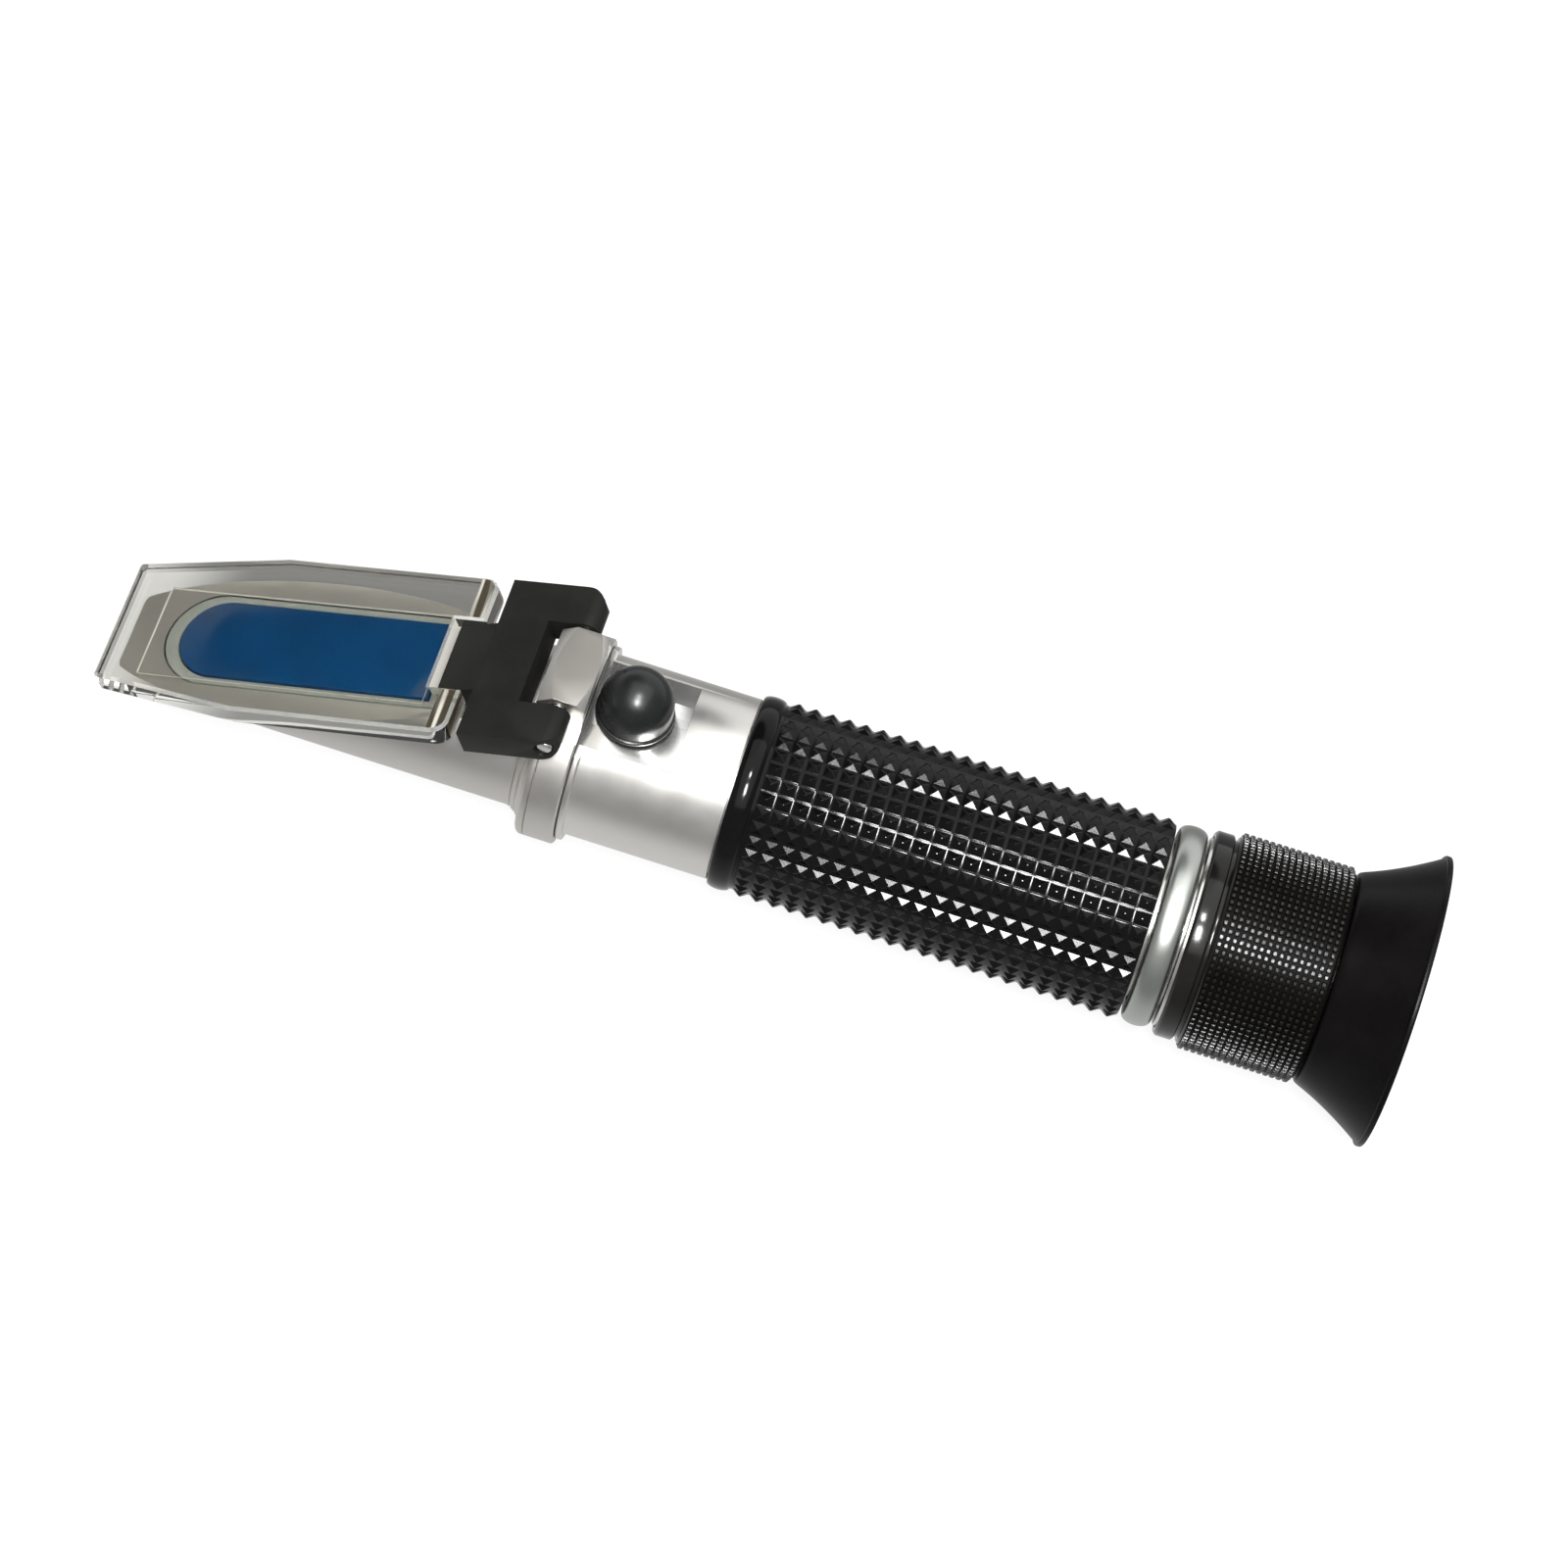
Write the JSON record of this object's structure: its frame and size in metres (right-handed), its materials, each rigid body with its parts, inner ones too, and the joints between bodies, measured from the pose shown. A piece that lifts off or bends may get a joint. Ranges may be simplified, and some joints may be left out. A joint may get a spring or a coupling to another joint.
{
  "type": "portable refractometer",
  "caption": "Hand-held tube instrument with a hinged clear cover over an inclined prism, a studded grip, a capped calibration screw and a focusing eyepiece with a flared eyecup.",
  "frame": {"origin": "centre of the bounding box at its lowest level, which is the lowest point of the eyecup's rim", "axes": "+X along the optical axis towards the eyepiece, +Z towards the side with the cover and the calibration cap"},
  "size_m": [0.1686, 0.0378, 0.0378],
  "materials": {
    "satin_aluminium": "fine turned satin",
    "grey_satin": "satin, slightly darker than the barrel",
    "steel": "turned",
    "brass": "turned",
    "black_plastic": "satin black",
    "black_rubber": "moulded, soft sheen",
    "cap_rubber": "smooth, dark grey",
    "black_metal": "black anodised",
    "grey_sealant": "matt grey bond",
    "clear_acrylic": "clear, polished",
    "blue_glass": "deep blue, polished",
    "lens_glass": "coated lens"
  },
  "bodies": {
    "body": {"prism_seat": "satin_aluminium", "measuring_prism": "blue_glass", "prism_gasket": "grey_sealant", "hinge_pin": "steel", "seat_seal": "black_rubber", "barrel_tube": "satin_aluminium", "calibration_bush": "brass", "carriage_spring": "steel", "glare_stop": "black_metal", "grip_sleeve": "black_rubber", "end_ring": "grey_satin", "eyepiece_tube": "satin_aluminium", "focus_o_ring": "black_rubber", "guide_pin": "steel", "reticle_cell": "black_metal", "reticle": "lens_glass", "reticle_ring": "black_metal"},
    "cover": {"cover_plate": "clear_acrylic", "cover_holder": "black_plastic"},
    "cap": {"calibration_cap": "cap_rubber"},
    "screw": {"calibration_screw": "brass"},
    "carriage": {"lens_carriage": "black_metal", "objective_lens": "lens_glass", "objective_ring": "black_metal"},
    "eyepiece": {"eyepiece_cell": "black_metal", "field_lens": "lens_glass", "lens_spacer": "black_metal", "eye_lens": "lens_glass", "eyepiece_cap": "black_plastic"},
    "focus": {"focusing_ring": "black_plastic", "eyecup": "black_rubber"}
  },
  "joints": [
    {"name": "cover_hinge", "type": "hinge", "parent": "body", "child": "cover", "pos_m": [-0.02606, 0, 0.0333], "axis": [0, 1, 0], "range_deg": [0, 105]},
    {"name": "cap_lift", "type": "slide", "parent": "body", "child": "cap", "axis": [0, 0, 1], "range_m": [0, 0.012]},
    {"name": "calibration_turn", "type": "hinge", "parent": "body", "child": "screw", "pos_m": [-0.01736, 0, 0.0289], "axis": [0, 0, 1], "range_deg": [-180, 180]},
    {"name": "carriage_shift", "type": "slide", "parent": "body", "child": "carriage", "axis": [0, 0, 1], "range_m": [-0.00025, 0.00025]},
    {"name": "focus_travel", "type": "slide", "parent": "body", "child": "eyepiece", "axis": [1, 0, 0], "range_m": [0, 0.003]},
    {"name": "focus_turn", "type": "hinge", "parent": "eyepiece", "child": "focus", "pos_m": [0.065, 0, 0.0189], "axis": [1, 0, 0], "range_deg": [0, 180]}
  ],
  "couplings": [
    {"joint": "calibration_turn", "follows": "carriage_shift", "rad_per_m": 12560},
    {"joint": "focus_travel", "follows": "focus_turn", "m_per_rad": 0.000954}
  ]
}
